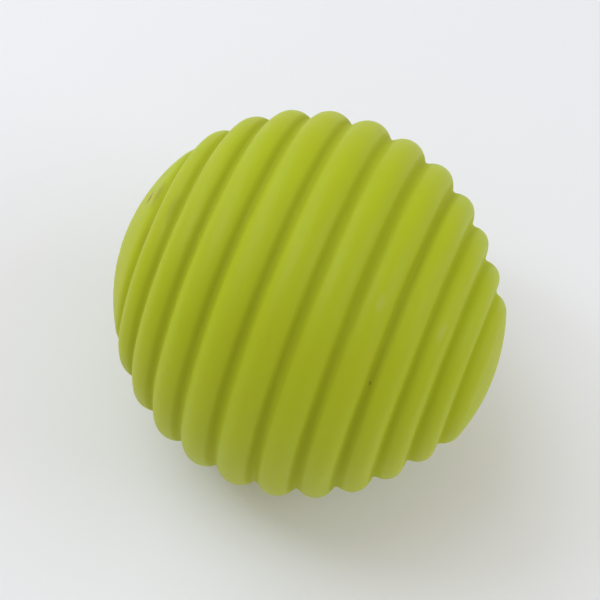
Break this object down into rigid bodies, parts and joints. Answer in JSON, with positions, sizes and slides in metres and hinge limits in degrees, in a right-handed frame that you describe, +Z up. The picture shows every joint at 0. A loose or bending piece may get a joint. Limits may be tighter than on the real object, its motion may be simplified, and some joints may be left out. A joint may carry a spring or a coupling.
{
  "type": "ribbed dodgeball",
  "caption": "Soft hollow play ball with rounded parallel ribs, smooth domed end caps and a plugged inflation valve.",
  "frame": {"origin": "point of the floor under the lowest crown of the middle rib, where the ball rests", "axes": "+X along the axis of the ribs towards the smooth proud cap, the valve faces -X, +Z up"},
  "size_m": [0.1529, 0.15, 0.15],
  "materials": {
    "soft_vinyl": "satin lime-green soft vinyl",
    "valve_rubber": "matte deeper green rubber",
    "plug_plastic": "satin natural white"
  },
  "bodies": {
    "ball": {"shell": "soft_vinyl", "valve_body": "valve_rubber"},
    "plug": {"valve_plug": "plug_plastic"}
  },
  "joints": [
    {"name": "plug_pull", "type": "slide", "parent": "ball", "child": "plug", "axis": [-1, 0, 0], "range_m": [0, 0.012]}
  ]
}
